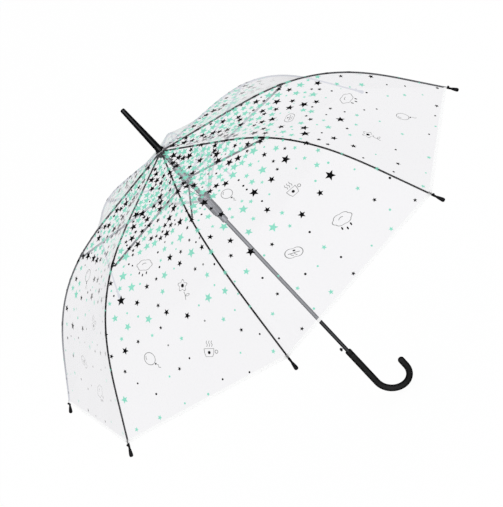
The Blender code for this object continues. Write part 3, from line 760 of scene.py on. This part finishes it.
def print_items(gore):
    """The print of one gore: marks on its two seams, drawings, then stars and dots that thin
    out to the hem."""
    chance = random.Random(40 + gore)
    taken, items = [], []
    for side, rib in ((-1, gore), (1, gore % RIB_COUNT + 1)):
        for down, turn, reach, colour in seam_marks(rib):
            lean = atan2(half_width(down + 1) - half_width(down - 1), 2)
            centre = (side * half_width(down), down)
            items.append(mark(centre, turn - side * lean, reach, colour))
            taken.append((*centre, reach * SEAM_SHARE))
    offset = chance.randrange(len(DRAWINGS))
    for number, (down_share, side_share) in enumerate(DRAWING_SPOTS):
        down = GORE_DOWN[-1] * (down_share + chance.uniform(-0.025, 0.025))
        across = half_width(down) * (side_share + chance.uniform(-0.12, 0.12))
        pen = Pen((across, down), chance.uniform(-0.6, 0.6))
        DRAWINGS[(offset + number) % len(DRAWINGS)](pen)
        items += pen.shapes
        taken.append((across, down, DRAWING_REACH))
    for start, end, count, odds in PRINT_BANDS:
        share = CROWDED_SHARE if end <= CROWDED_END else OPEN_SHARE
        for size in sorted(chance.choices(STAR_REACHES, weights=odds, k=count), reverse=True):
            reach = size * chance.uniform(0.84, 1.12)
            place = roomiest_place(chance, start, end, reach, reach * share, taken)
            if place is None:
                continue
            taken.append((*place, reach * share))
            colour = pick_colour(chance, place[1])
            if reach < DOT_LIMIT and chance.random() < GREY_ODDS:
                colour = "grey"
            items.append(mark(place, chance.uniform(0, 1.3), reach, colour))
    return items


# ---- film ----
SEGMENTS = (
    ("inner", FILM_START, FLEX_MID),
    ("mid", FLEX_MID, FLEX_END),
    ("end", FLEX_END, FILM_END),
)
FILM_KINDS = {"film": 0, "hem": 1, "mint": 2, "black": 3, "grey": 4}
FILM_SURFACES = [FILM, HEM, INK_MINT, INK_BLACK, INK_GREY]
EDGE_PITCH = 11  # between the film's points along a rib
GRID_PITCH = 14  # and across a gore
HEM_COLUMNS = 22


def gore_layout():
    """Flat gore: boundary points in order, rows of grid points and the borders to be kept."""
    downs = []
    for _, start, end in SEGMENTS:
        arcs = np.linspace(start, end, round((end - start) / EDGE_PITCH), endpoint=False)
        downs += [down_at(arc) for arc in arcs]
    downs.append(down_at(FILM_END))
    left = [(-half_width(d), d) for d in downs]
    right = [(half_width(d), d) for d in downs]
    hem_half = right[-1][0]
    hem = [(-hem_half + 2 * hem_half * i / HEM_COLUMNS, downs[-1]) for i in range(1, HEM_COLUMNS)]
    borders = [down_at(FLEX_MID), down_at(FLEX_END), downs[-1] - HEM_WIDTH]
    rows = []
    for down in downs[1:-1] + [borders[2]]:
        width = half_width(down)
        steps = max(2, round(2 * width / GRID_PITCH))
        rows.append([(-width + 2 * width * i / steps, down) for i in range(steps + 1)])
    return right + hem[::-1] + left[::-1], rows, borders


def cut_gore(items):
    """Triangulate the flat gore with its print; returns points, triangles, face kinds and borders."""
    boundary, rows, borders = gore_layout()
    points = [Vector(p) for p in boundary]
    edges = []
    faces = [list(range(len(points)))]
    for row in rows:
        base = len(points)
        points += [Vector(p) for p in row]
        if min(abs(row[0][1] - border) for border in borders) < 1e-6:
            edges += [(base + i, base + i + 1) for i in range(len(row) - 1)]
    owners = {}
    for outline, hole, colour in items:
        outline_face, hole_face = len(faces), len(faces) + 1 if hole else None
        for shape in (outline, hole):
            if shape is not None:
                faces.append([len(points) + i for i in range(len(shape))])
                points += [Vector(p) for p in shape]
        owners[outline_face] = (hole_face, colour)
    flat, _, triangles, _, _, sources = delaunay_2d_cdt(points, edges, faces, 1, 1e-4)
    flat = np.array([tuple(p) for p in flat])
    kept, kinds = [], []
    for triangle, source in zip(triangles, sources):
        if 0 not in source:
            continue
        kind = "hem" if flat[list(triangle)].mean(axis=0)[1] > borders[2] else "film"
        for face in source:
            if face in owners and owners[face][0] not in source:
                kind = owners[face][1]
        kept.append(list(triangle)[::-1])
        kinds.append(FILM_KINDS[kind])
    return flat, kept, kinds, borders


def surface_normals(across, down):
    """Outward normals of a gore, from small steps on its surface."""
    step = 0.5
    side = gore_surface(across + step, down) - gore_surface(across - step, down)
    below = gore_surface(across, np.minimum(down + step, GORE_DOWN[-1]))
    above = gore_surface(across, np.maximum(down - step, 0))
    normals = np.cross(below - above, side)
    return normals / np.linalg.norm(normals, axis=1)[:, None]


def build_film():
    """Eight printed gores, each cut at its rib's flex joints."""
    for number, azimuth in RIBS:
        flat, triangles, kinds, borders = cut_gore(print_items(number))
        turn = azimuth + HALF_GORE
        solid = spin(gore_surface(flat[:, 0], flat[:, 1]), turn)
        normals = spin(surface_normals(flat[:, 0], flat[:, 1]), turn)
        cuts = [-1, borders[0], borders[1], GORE_DOWN[-1] + 1]
        for index, (part, start, end) in enumerate(SEGMENTS):
            chosen = [face for face, triangle in enumerate(triangles)
                      if cuts[index] < flat[triangle, 1].mean() <= cuts[index + 1]]
            used = sorted({i for face in chosen for i in triangles[face]})
            place = {old: new for new, old in enumerate(used)}
            faces = [[place[i] for i in triangles[face]] for face in chosen]
            sheet = new_object(f"film_{part}_{number}", solid[used], faces, FILM_SURFACES,
                               [kinds[face] for face in chosen])
            sheet.data.normals_split_custom_set_from_vertices(normals[used].tolist())
            fit(sheet, f"rib_{part}_{number}", "film")
            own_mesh(sheet)
            if number == 1 and part == "inner":
                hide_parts("canopy")


def build_crown_ring():
    """Film under the ferrule, where the gores come together: a turned sheet without end caps."""
    points, faces = lathe([(5.2, -0.25), (9, -0.25), (13, -0.55)], segments=48)
    ring = new_object("crown_ring", points, faces[:-2], [HEM], sharp=35)
    fit(ring, "umbrella_stick", "film")


# ---- ribs, tips, stretchers and links ----
EYE_WIDE, EYE_HIGH = 0.95, 1.85  # half sizes of a rib's flattened eye end
EYE_LENGTH = 8
CHANNEL_HEIGHT, CHANNEL_DEPTH, CHANNEL_WALL = 3.4, 1.5, 0.35
LINK_GAP, LINK_WIRE = 0.95, 0.36  # half width and wire radius of a link's loop
RIB_PIVOT = np.array(rib_point(JOINT_ARC, -JOINT_DROP))  # (x, z) where the stretcher meets its rib


def rod_shell(arcs, flat_eye=False):
    """A round rod along the rib; the eye end is flattened to turn inside the notch."""
    round_share = smoothstep((arcs - EYE_LENGTH) / 5) if flat_eye else np.ones(len(arcs))
    wide = EYE_WIDE + (RIB_RADIUS - EYE_WIDE) * round_share
    high = EYE_HIGH + (RIB_RADIUS - EYE_HIGH) * round_share
    return tube(in_rib_plane(*rib_point(arcs)), np.column_stack([wide, high]))


def build_ribs():
    """Two continuous rods a rib, smooth past the flex joints, in place of the CAD rib lengths."""
    eye, rest = np.linspace(0.2, 14, 8), np.linspace(18, ROD_SPLIT, 44)
    upper = rod_shell(np.concatenate([eye, rest]), flat_eye=True)
    lower = rod_shell(np.linspace(ROD_SPLIT, RIB_LENGTH + 6, 34))
    for number, azimuth in RIBS:
        inner, mid, end = (f"rib_{part}_{number}" for part in ("inner", "mid", "end"))
        for name, (points, faces), first, second, flex, stands_for in (
            (f"rod_upper_{number}", upper, inner, mid, FLEX_MID, (inner, mid)),
            (f"rod_lower_{number}", lower, mid, end, FLEX_END, (end,)),
        ):
            rod = new_object(name, spin(points, azimuth), faces, [ROD], sharp=60)
            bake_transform(rod)
            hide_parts(*stands_for)


def directions(start, end):
    """Length between two pivots, and the unit vectors along and square to it in the rib's plane."""
    length = float(np.linalg.norm(end - start))
    along = (end - start) / length
    return length, along, np.array([-along[1], along[0]])


def pin(place, low_y, high_y, radius, head):
    """A rivet across the rib's plane, from low_y to high_y, with a domed head at each end."""
    length = high_y - low_y
    half = [(AXIS, 0), (head * 0.7, 0), (head, 0.25), (radius, 0.5)]
    points, faces = lathe(half + [(reach, length - height) for reach, height in reversed(half)], segments=14)
    turned = np.column_stack([points[:, 0], points[:, 2], -points[:, 1]])
    return turned + np.array([place[0], low_y, place[1]]), faces


def clip_shell():
    """Crimped clip on the rib, its lug and the rivet that carries the stretcher."""
    arcs = np.array([JOINT_ARC - 5.5, JOINT_ARC - 5, JOINT_ARC, JOINT_ARC + 5, JOINT_ARC + 5.5])
    crimp = [(reach, reach) for reach in (1.75, 2.15, 2.25, 2.15, 1.75)]
    sleeve = tube(in_rib_plane(*rib_point(arcs)), crimp)
    top = np.array(rib_point(JOINT_ARC))
    path = np.array([top + (RIB_PIVOT - top) * t for t in np.linspace(0.2, 1.15, 6)])
    lug_sizes = [(0.8, high) for high in (2.4, 2.3, 2.1, 1.9, 1.7, 0.9)]
    lug = tube(in_rib_plane(*path.T), lug_sizes, sides=12)
    return join_shells(sleeve, lug, pin(RIB_PIVOT, -1.3, 3.9, radius=0.7, head=1.25))


def channel_shell(start, end):
    """A pressed channel from pivot to pivot with flat ends."""
    length, along, up = directions(start, end)
    h, d = CHANNEL_HEIGHT / 2, CHANNEL_DEPTH / 2

    def section(flange, web):
        low = [(-d, -h), (flange - d, -h), (flange - d, CHANNEL_WALL - h), (web - d, CHANNEL_WALL - h)]
        return low + [(y, -z) for y, z in reversed(low)]

    shut_shape, open_shape = section(0.7, 0.6), section(CHANNEL_DEPTH, CHANNEL_WALL)
    # Stations: length from the pivot, how far the channel is open, and its height's scale.
    ends = [(-1.3, 0, 0.5), (-0.9, 0, 0.85), (0, 0, 1.05), (6, 0, 1), (10, 1, 1)]
    stations = ends + [(length * t, 1, 1) for t in (0.25, 0.5, 0.75)]
    stations += [(length - distance, opened, scale) for distance, opened, scale in reversed(ends)]
    rings = []
    for distance, opened, scale in stations:
        ring = []
        for (shut_y, shut_h), (open_y, open_h) in zip(shut_shape, open_shape):
            rise = (shut_h + (open_h - shut_h) * opened) * scale
            place = start + along * distance + up * rise
            ring.append((place[0], STRETCHER_Y + (shut_y + (open_y - shut_y) * opened), place[1]))
        rings.append(np.array(ring))
    return skin(rings)


def link_shell(start, end):
    """A long flat wire loop from pivot to pivot."""
    _, along, up = directions(start, end)
    path = []
    for centre, first in ((start, 90), (end, -90)):
        for i in range(9):
            angle = radians(first + 180 * i / 8)
            place = centre + LINK_GAP * (cos(angle) * along + sin(angle) * up)
            path.append((place[0], LINK_Y, place[1]))
    fine = []
    for p, q in zip(path, path[1:] + path[:1]):
        steps = 6 if dist(p, q) > 5 else 1
        fine += [tuple(np.array(p) + (np.array(q) - np.array(p)) * i / steps) for i in range(steps)]
    return tube(fine, [(LINK_WIRE, LINK_WIRE)] * len(fine), sides=8, closed=True)


def build_struts():
    """Clips, stretchers and links of every rib set."""
    clip = clip_shell()
    upper, lower = np.array([UPPER_X, UPPER_Z]), np.array([LOWER_X, LOWER_Z])
    mid = upper + LINK_STATION * (RIB_PIVOT - upper)
    link_pin = pin(mid, 0.15, STRETCHER_Y + 1, radius=0.55, head=1.1)
    stretcher = join_shells(channel_shell(upper, RIB_PIVOT), link_pin)
    link = link_shell(lower, mid)
    for number, azimuth in RIBS:
        for name, (points, faces), surface, body, slot in (
            ("rib_clip", clip, ROD, "rib_inner", "black_fibreglass"),
            ("stretcher_channel", stretcher, STRUT, "stretcher", "black_steel"),
            ("link_wire", link, STRUT, "link", "black_steel"),
        ):
            piece = new_object(f"{name}_{number}", spin(points, azimuth), faces, [surface], sharp=40)
            stands_for = [f"{body}_{number}"] if surface is STRUT else []
            fit(piece, f"{body}_{number}", slot, *stands_for)


def build_tips():
    """Cap at each corner of the film, wider to its round end, with a small catch for the film."""
    cap_profile = [(1.6, -3.9), (2, -3.6), (2.05, 2.4), (1.8, 4.6), (2.2, 6.2), (2.75, 9),
                   (3.3, 13.5), (3.75, 16.8), (3.5, 19), (2.2, 20.6), (0.1, 20.9)]
    cap = lathe(rounded(cap_profile, share=0.4), segments=20)
    catch_profile = [(AXIS, -2.9), (1.7, -2.7), (2, -0.9), (1.7, 0.9), (AXIS, 1.1)]
    catch_points, catch_faces = lathe(rounded(catch_profile, share=0.45), segments=14)
    points, faces = join_shells(cap, (catch_points + np.array([-2.6, 0, 0]), catch_faces))
    tilt = -(float(rib_slope(RIB_LENGTH)) + pi / 2)
    c, s = cos(tilt), sin(tilt)
    x, z = rib_point(RIB_LENGTH)
    points = np.column_stack([points[:, 0] * c - points[:, 2] * s, points[:, 1],
                              points[:, 0] * s + points[:, 2] * c]) + np.array([float(x), 0, float(z)])
    for number, azimuth in RIBS:
        tip = new_object(f"tip_cap_{number}", spin(points, azimuth), faces, [TIP], sharp=50)
        fit(tip, f"rib_end_{number}", "black_plastic", f"rib_tip_{number}")


# ---- centre: ferrule, runners, spring, button and handle ----
SPRING_TURNS, SPRING_RADIUS, SPRING_WIRE = 17, 5.05, 0.48
RUNNER_NECK = 46.3  # lower runner's length above its grip's lower end
GRIP_COLLAR = 10.8  # from the handle's top to the end of its groove
HOOK_RISE = 23  # from the end of the hook's bend to its round tip
KNOB_BACK = 7.4  # from the shaft's middle to the button's knob


def box_mm(node):
    """Lowest and highest corner of a CAD node in millimetres from the crown."""
    low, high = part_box(node)
    shift = Vector((0, 0, CROWN_Z))
    return (low - shift) / MM, (high - shift) / MM


def build_ferrule():
    """Long tapered spike with a flared foot and a shallow groove above it."""
    _, high = box_mm("ferrule")
    foot, tip = high.x, high.z
    profile = [(4.4, 0.02), (foot - 0.5, 0.02), (foot, 0.7), (foot, 2.5), (7, 4.2), (6.75, 9), (6.5, 9.6),
               (6.5, 10.4), (6.7, 11), (4.75, tip - 5), (4.5, tip - 1.2), (3.6, tip - 0.1), (AXIS, tip)]
    shell = lathe(rounded(profile, share=0.45), segments=56)
    spike = new_object("ferrule_spike", *shell, [PLASTIC], sharp=50)
    fit(spike, "umbrella_stick", "black_plastic", "ferrule")


def build_runner_grip():
    """Fluted grip over the lower runner's sleeve."""
    top = LOWER_Z - 7
    bottom = box_mm("lower_runner")[1].z - RUNNER_NECK
    profile = [(9, top), (9.45, top - 0.6), (9.45, bottom + 1.4), (8.9, bottom + 0.3), (6.6, bottom - 1.2)]
    points, faces = lathe(profile, segments=96, flutes=12, depth=0.55)
    grip = new_object("runner_grip", points, faces[:-2], [RUNNER], sharp=30)  # without its end caps
    fit(grip, "lower_runner", "black_plastic")


def build_spring():
    """Smooth coil between the runners, riding the lower runner."""
    low, high = box_mm("drive_spring")
    t = np.linspace(0, 1, SPRING_TURNS * 20 + 1)
    heights = low.z + SPRING_WIRE + (high.z - low.z - 2 * SPRING_WIRE) * t
    turns = around(8)
    rings = []
    for angle, height in zip(2 * pi * SPRING_TURNS * t, heights):
        out = np.array([cos(angle), sin(angle), 0])
        centre = out * SPRING_RADIUS + np.array([0, 0, height])
        rings.append(centre + np.outer(np.cos(turns) * SPRING_WIRE, out)
                     + np.outer(np.sin(turns) * SPRING_WIRE, (0, 0, 1)))
    coil = new_object("spring_coil", *skin(rings), [SPRING])
    fit(coil, "lower_runner", "bright_wire", "drive_spring")
    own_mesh(coil)


def build_handle():
    """J handle with a softened top edge, a groove under it and a rounded end."""
    low, high = box_mm("handle")
    radius, top = high.y, high.z
    bend = (high.x - low.x) / 2 - radius
    turn_z = low.z + radius + bend
    path, sizes = [], []

    def station(x, z, size):
        path.append((x, 0, z))
        sizes.append((size, size))

    inset = radius - 0.35
    for drop, size in ((0.02, 4.4), (0.02, radius - 1), (0.35, inset), (1.1, radius), (9, radius),
                       (9.6, inset), (10.2, inset), (GRIP_COLLAR, radius)):
        station(0, top - drop, size)
    for t in np.linspace(0.15, 1, 8):
        station(0, (top - GRIP_COLLAR) + (turn_z - top + GRIP_COLLAR) * t, radius)
    for i in range(1, 41):
        angle = pi * i / 40
        station(bend - bend * cos(angle), turn_z - bend * sin(angle), radius)
    reach = HOOK_RISE - radius
    for i in range(1, 4):
        station(2 * bend, turn_z + reach * i / 3, radius)
    for i in range(1, 9):
        angle = 0.5 * pi * i / 8
        size = max(radius * cos(angle), AXIS)
        station(2 * bend, turn_z + reach + radius * sin(angle) * 0.98, size)
    handle = new_object("handle_grip", *tube(path, sizes, sides=36), [GRIP], sharp=50)
    fit(handle, "umbrella_stick", "black_plastic", "handle")


def build_button():
    """Round push button with a domed face on a thin steel pin."""
    low, high = box_mm("release_button")
    face = -low.x
    height = (low.z + high.z) / 2 - 1.8
    radius = high.y + 1.1
    profile = [(AXIS, KNOB_BACK), (radius - 0.9, KNOB_BACK), (radius, KNOB_BACK + 1.1),
               (radius, face - 1.3), (radius - 1, face - 0.2), (AXIS, face)]
    knob = lathe(rounded(profile, share=0.45), segments=28)
    stem = lathe([(AXIS, 2.6), (0.8, 2.6), (0.8, KNOB_BACK + 0.4), (AXIS, KNOB_BACK + 0.4)], segments=16)
    points, faces = join_shells(knob, stem)
    kinds = [0] * len(knob[1]) + [1] * len(stem[1])
    turned = np.column_stack([-points[:, 2], points[:, 1], points[:, 0]]) + np.array([0, 0, height])
    button = new_object("button_knob", turned, faces, [PLASTIC, WIRE], kinds, sharp=50)
    fit(button, "release_button", "black_plastic", "release_button")


def dress_cad_nodes():
    """Finishes of the CAD pieces that show as they are."""
    finishes = {
        "shaft": STEEL, "notch": PLASTIC, "upper_runner": RUNNER, "lower_runner": RUNNER,
        "notch_wire": WIRE, "upper_runner_wire": WIRE, "lower_runner_wire": WIRE,
    }
    for name, surface in finishes.items():
        node = frame["nodes"][name]
        node.data.materials.clear()
        node.data.materials.append(surface)


# ---- stage ----
CAMERA_DISTANCE = 2.606  # metres from the crown
CAMERA_AZIMUTH = -64.71  # degrees from +X
CAMERA_ELEVATION = 14.93
CAMERA_AIM = (0.0329, -0.0864, -0.2447)  # metres from the crown
CAMERA_ROLL = 43.2  # degrees
CAMERA_LENS = 97.15  # millimetres, on a sensor of the width below
CAMERA_SENSOR = 36
FLOOR_REACH = 12
MIRRORED_WHITE = 0.20  # strength of the white surroundings in a glossy surface
# Lamps: azimuth, elevation, distance, size and power.
LAMPS = {
    "key": (-20, 48, 2.6, 1.4, 5),
    "fill": (-130, 30, 2.8, 1.8, 4),
    "back": (90, 55, 2.8, 1.6, 3),
    "front": (-74, 30, 2.8, 0.7, 4),
}


def direction(azimuth, elevation):
    """Unit vector at an azimuth from +X and an elevation, in degrees."""
    a, e = radians(azimuth), radians(elevation)
    return Vector((cos(a) * cos(e), sin(a) * cos(e), sin(e)))


def white_strength(nodes):
    """Strength of the white surroundings: full for the viewer, lower in glossy surfaces."""
    return nodes.math_add(nodes.read("LightPath", "Is Glossy Ray"), MIRRORED_WHITE - 1, 1)


def build_floor():
    """Plain pale floor that keeps only a trace of shadow and is clear from below."""
    made, nodes = new_material("pale_floor")
    glow = nodes.add("Emission", Strength=white_strength(nodes)).outputs[0]
    matt = nodes.add("BsdfDiffuse", Color=(0.9, 0.9, 0.9, 1)).outputs[0]
    below = nodes.read("NewGeometry", "Backfacing")
    nodes.finish(nodes.mix(below, nodes.mix(0.05, glow, matt), nodes.clear()))
    mesh = bpy.data.meshes.new("floor")
    corners = [(x * FLOOR_REACH, y * FLOOR_REACH, 0) for x, y in ((-1, -1), (1, -1), (1, 1), (-1, 1))]
    mesh.from_pydata(corners, [], [(0, 1, 2, 3)])
    mesh.materials.append(made)
    floor = show("floor", mesh)
    floor.location.z = FLOOR_Z


def build_world():
    """White behind everything, with softer light for the surfaces themselves."""
    world = bpy.data.worlds.new("studio")
    bpy.context.scene.world = world
    world.use_nodes = True
    nodes = Nodes(world.node_tree)
    back = nodes.add("Background", Color=(1, 1, 1, 1), Strength=white_strength(nodes))
    nodes.add("OutputWorld", Surface=back.outputs[0])


def add_lamp(name, azimuth, elevation, distance, size, power):
    """A soft square lamp aimed at the middle of the umbrella."""
    data = bpy.data.lights.new(name, "AREA")
    data.size = size
    data.energy = power
    lamp = show(name, data)
    out = direction(azimuth, elevation)
    lamp.location = Vector((0, 0, CROWN_Z - 0.35)) + out * distance
    lamp.rotation_mode = "QUATERNION"
    lamp.rotation_quaternion = (-out).to_track_quat("-Z", "Y")


def build_camera():
    """Camera at the photographed angle: level view direction first, then the roll."""
    crown = Vector((0, 0, CROWN_Z))
    place = crown + CAMERA_DISTANCE * direction(CAMERA_AZIMUTH, CAMERA_ELEVATION)
    forward = (crown + Vector(CAMERA_AIM) - place).normalized()
    right = forward.cross(Vector((0, 0, 1))).normalized()
    up = right.cross(forward)
    c, s = cos(radians(CAMERA_ROLL)), sin(radians(CAMERA_ROLL))
    matrix = Matrix((c * right - s * up, c * up + s * right, -forward)).transposed().to_4x4()
    matrix.translation = place
    data = bpy.data.cameras.new("camera")
    data.lens = CAMERA_LENS
    data.sensor_width = CAMERA_SENSOR
    camera = show("camera", data)
    camera.matrix_world = matrix
    bpy.context.scene.camera = camera


def build_stage():
    """Floor, light and camera."""
    bpy.context.scene.view_settings.view_transform = "Standard"
    build_floor()
    build_world()
    for name, settings in LAMPS.items():
        add_lamp(name, *settings)
    build_camera()


dress_cad_nodes()
build_film()
build_crown_ring()
build_ribs()
build_struts()
build_tips()
build_ferrule()
build_runner_grip()
build_spring()
build_handle()
build_button()
build_stage()
